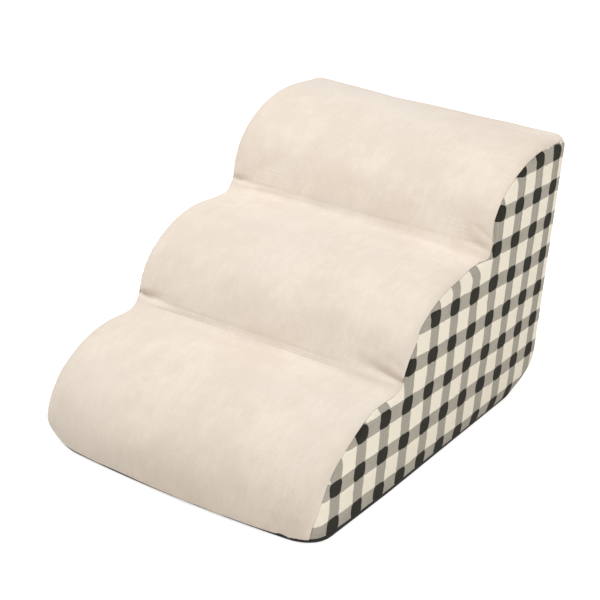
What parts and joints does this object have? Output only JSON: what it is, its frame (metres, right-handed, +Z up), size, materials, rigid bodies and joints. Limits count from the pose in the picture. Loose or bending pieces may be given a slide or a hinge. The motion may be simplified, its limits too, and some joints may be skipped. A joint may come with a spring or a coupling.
{
  "type": "pet stairs",
  "caption": "Foam pet stairs with rounded steps, a beige plush tread cover, gingham side panels, a black non-slip base and a zip across the back.",
  "frame": {"origin": "on the floor, under the middle of the stairs' box, zip bridge included", "axes": "+X to the right seen from the low front, +Y from the low front to the high back, +Z up"},
  "size_m": [0.4, 0.595, 0.365],
  "materials": {
    "foam": "matte",
    "plush": "matte",
    "gingham": "matte",
    "base_cloth": "matte",
    "tape": "matte",
    "teeth": "satin",
    "stops": "satin",
    "slider_metal": "satin"
  },
  "bodies": {
    "cover": {"foam_core": "foam", "base_panel": "base_cloth", "tread_panel": "plush", "side_panel_left": "gingham", "side_panel_right": "gingham", "back_panel_upper": "plush", "back_panel_lower": "plush", "zipper_tape_upper": "tape", "zipper_tape_lower": "tape", "zipper_teeth_upper": "teeth", "zipper_teeth_lower": "teeth", "zipper_top_stops": "stops", "zipper_bottom_stop": "stops"},
    "slider": {"zipper_slider": "slider_metal"},
    "pull": {"zipper_pull": "slider_metal"}
  },
  "joints": [
    {"name": "zip_slide", "type": "slide", "parent": "cover", "child": "slider", "axis": [-1, 0, 0], "range_m": [0, 0.32], "deforming": ["zipper_teeth_upper", "zipper_teeth_lower"]},
    {"name": "pull_hinge", "type": "hinge", "parent": "slider", "child": "pull", "pos_m": [0.16005, 0.2954, 0.074], "axis": [0, 0, 1], "range_deg": [0, 178]}
  ]
}
